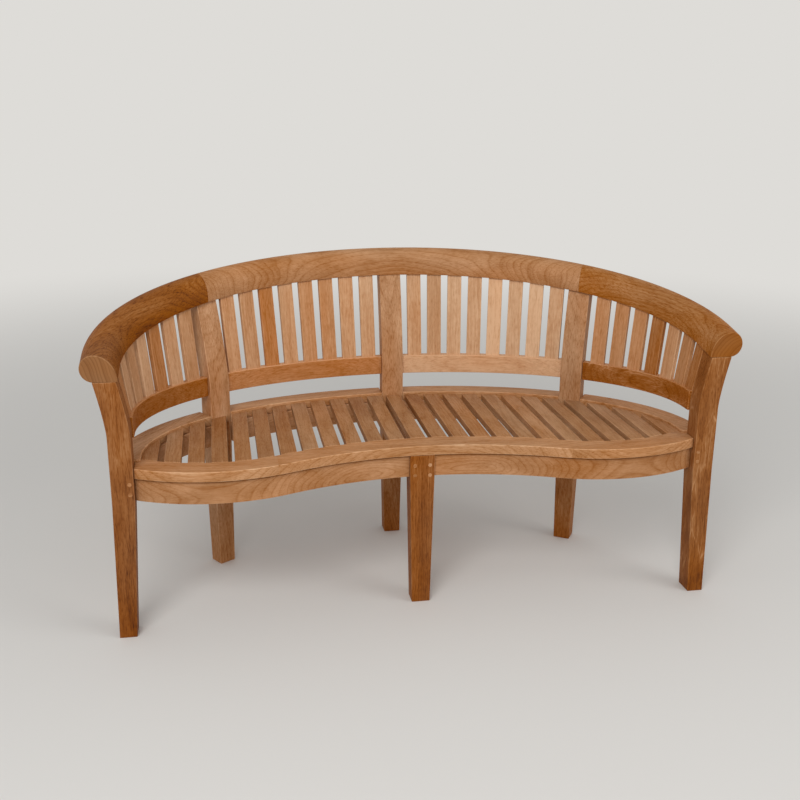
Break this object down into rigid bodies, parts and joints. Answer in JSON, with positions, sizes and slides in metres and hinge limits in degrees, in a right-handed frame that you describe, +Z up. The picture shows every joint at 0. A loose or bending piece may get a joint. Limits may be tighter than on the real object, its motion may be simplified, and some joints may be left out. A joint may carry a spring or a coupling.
{
  "type": "garden bench",
  "caption": "Curved garden bench: a crescent slatted seat on tapered legs, with a slatted back that sweeps round into rolled arms.",
  "frame": {"origin": "middle of the bench's footprint, on the ground", "axes": "+X across the bench to the right as seen from the front, +Y towards the back, +Z up"},
  "size_m": [1.61, 0.6814, 0.8517],
  "materials": {
    "teak_posts": "oiled teak, satin",
    "teak_top_rail": "oiled teak, satin",
    "teak_back": "oiled teak, satin",
    "teak_rims": "oiled teak, satin",
    "teak_aprons": "oiled teak, satin",
    "teak_seat_slats": "oiled teak, satin",
    "teak_bearers": "oiled teak, satin"
  },
  "bodies": {
    "root": {"arm_post_left": "teak_posts", "arm_post_right": "teak_posts", "back_post_left": "teak_posts", "back_post_centre": "teak_posts", "back_post_right": "teak_posts", "front_leg": "teak_posts", "top_rail_left": "teak_top_rail", "top_rail_centre": "teak_top_rail", "top_rail_right": "teak_top_rail", "back_panel_left": "teak_back", "back_panel_left_centre": "teak_back", "back_panel_right_centre": "teak_back", "back_panel_right": "teak_back", "rear_rim_left": "teak_rims", "rear_rim_left_centre": "teak_rims", "rear_rim_right_centre": "teak_rims", "rear_rim_right": "teak_rims", "front_rim_left": "teak_rims", "front_rim_centre": "teak_rims", "front_rim_right": "teak_rims", "rear_apron_left": "teak_aprons", "rear_apron_left_centre": "teak_aprons", "rear_apron_right_centre": "teak_aprons", "rear_apron_right": "teak_aprons", "front_apron_left": "teak_aprons", "front_apron_right": "teak_aprons", "bearer_left": "teak_bearers", "bearer_centre": "teak_bearers", "bearer_right": "teak_bearers", "seat_slat_01": "teak_seat_slats", "seat_slat_02": "teak_seat_slats", "seat_slat_03": "teak_seat_slats", "seat_slat_04": "teak_seat_slats", "seat_slat_05": "teak_seat_slats", "seat_slat_06": "teak_seat_slats", "seat_slat_07": "teak_seat_slats", "seat_slat_08": "teak_seat_slats", "seat_slat_09": "teak_seat_slats", "seat_slat_10": "teak_seat_slats", "seat_slat_11": "teak_seat_slats", "seat_slat_12": "teak_seat_slats", "seat_slat_13": "teak_seat_slats", "seat_slat_14": "teak_seat_slats", "seat_slat_15": "teak_seat_slats", "seat_slat_16": "teak_seat_slats", "seat_slat_17": "teak_seat_slats", "seat_slat_18": "teak_seat_slats", "seat_slat_19": "teak_seat_slats", "seat_slat_20": "teak_seat_slats", "seat_slat_21": "teak_seat_slats", "seat_slat_22": "teak_seat_slats", "seat_slat_23": "teak_seat_slats", "seat_slat_24": "teak_seat_slats", "seat_slat_25": "teak_seat_slats"}
  },
  "joints": []
}
